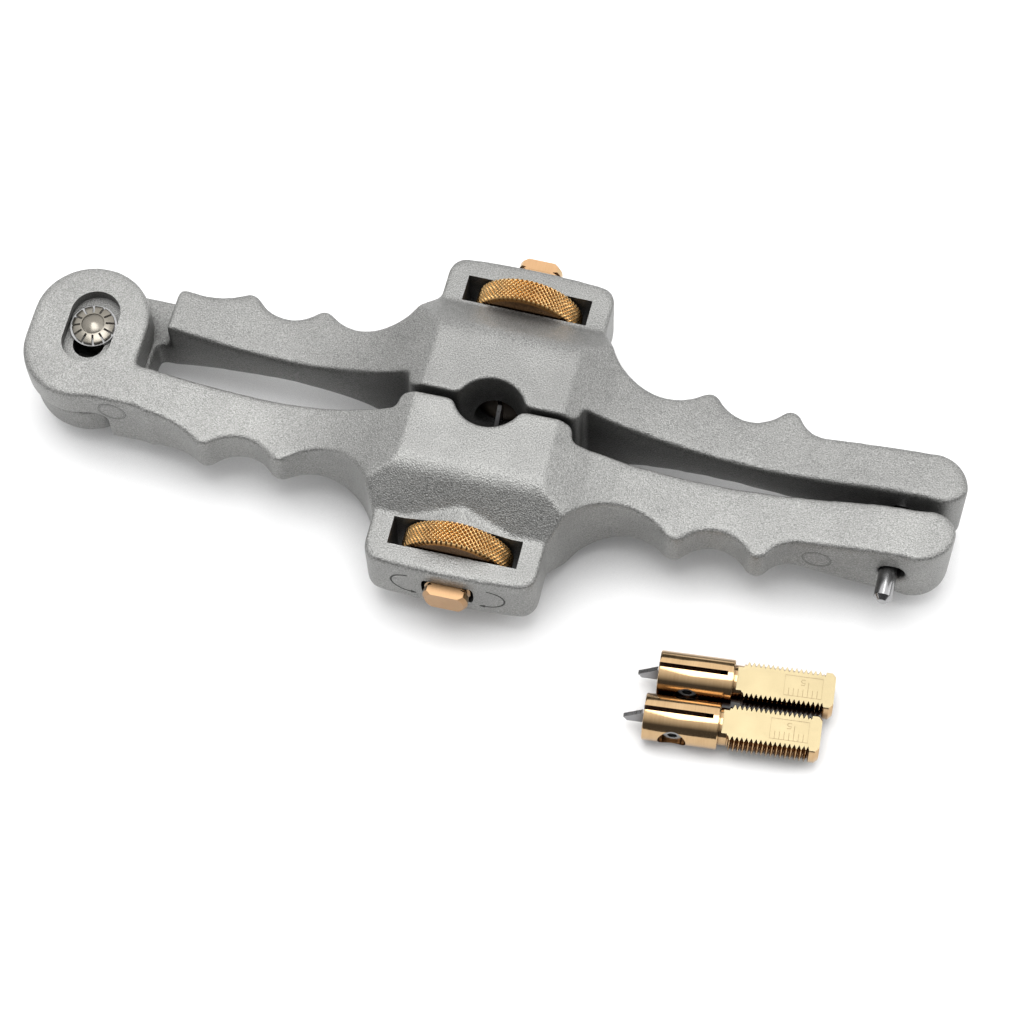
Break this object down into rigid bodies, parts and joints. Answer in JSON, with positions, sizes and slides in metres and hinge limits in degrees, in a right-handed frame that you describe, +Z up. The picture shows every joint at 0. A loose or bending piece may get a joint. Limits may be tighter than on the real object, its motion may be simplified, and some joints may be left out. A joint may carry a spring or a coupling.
{
  "type": "fibre cable slitter",
  "caption": "Hand-held mid-span cable slitter: two hinged cast halves grip a cable while thumbwheels set the depth of two opposed blades.",
  "frame": {"origin": "on the front half's parting face, at the middle of the cable groove and halfway up it", "axes": "+X along the handles from the pivot lug to the guide pin, +Y from the front half to the rear half, +Z up along the cable groove"},
  "size_m": [0.2069, 0.1016, 0.03],
  "materials": {
    "casting": "bead-blasted, matt",
    "brass": "knurled, bright",
    "carrier_brass": "turned, satin",
    "steel": "bright",
    "blade_steel": "ground",
    "screw_steel": "zinc plated, bright"
  },
  "bodies": {
    "front_half": {"front_body": "casting", "spare_one_blade_carrier": "carrier_brass", "spare_one_blade": "blade_steel", "spare_one_set_screw": "screw_steel", "spare_two_blade_carrier": "carrier_brass", "spare_two_blade": "blade_steel", "spare_two_set_screw": "screw_steel"},
    "pivot_slider": {"slot_washer": "steel"},
    "rear_half": {"rear_body": "casting", "pivot_pin": "steel", "star_washer": "steel", "guide_pin": "steel"},
    "rear_wheel": {"rear_thumbwheel": "brass"},
    "rear_carrier": {"rear_blade_carrier": "carrier_brass", "rear_blade": "blade_steel", "rear_set_screw": "screw_steel"},
    "front_wheel": {"front_thumbwheel": "brass"},
    "front_carrier": {"front_blade_carrier": "carrier_brass", "front_blade": "blade_steel", "front_set_screw": "screw_steel"}
  },
  "joints": [
    {"name": "halves_slide", "type": "slide", "parent": "front_half", "child": "pivot_slider", "axis": [0, 1, 0], "range_m": [-0.0009, 0.0024]},
    {"name": "halves_pivot", "type": "hinge", "parent": "pivot_slider", "child": "rear_half", "pos_m": [-0.09016, 0.0043, 0], "axis": [0, 0, 1], "range_deg": [0, 100]},
    {"name": "rear_wheel_turn", "type": "hinge", "parent": "rear_half", "child": "rear_wheel", "pos_m": [0.00132, 0.03109, 0], "axis": [0.0209, 0.9998, 0], "range_deg": [-180, 2160]},
    {"name": "rear_carrier_feed", "type": "slide", "parent": "rear_half", "child": "rear_carrier", "axis": [0.0209, 0.9998, 0], "range_m": [-0.0005, 0.006]},
    {"name": "front_wheel_turn", "type": "hinge", "parent": "front_half", "child": "front_wheel", "pos_m": [0, -0.0297, 0], "axis": [0, -1, 0], "range_deg": [-180, 2160]},
    {"name": "front_carrier_feed", "type": "slide", "parent": "front_half", "child": "front_carrier", "axis": [0, -1, 0], "range_m": [-0.0005, 0.006]}
  ],
  "couplings": [
    {"joint": "rear_carrier_feed", "follows": "rear_wheel_turn", "m_per_rad": 0.00015915},
    {"joint": "front_carrier_feed", "follows": "front_wheel_turn", "m_per_rad": 0.00015915}
  ]
}
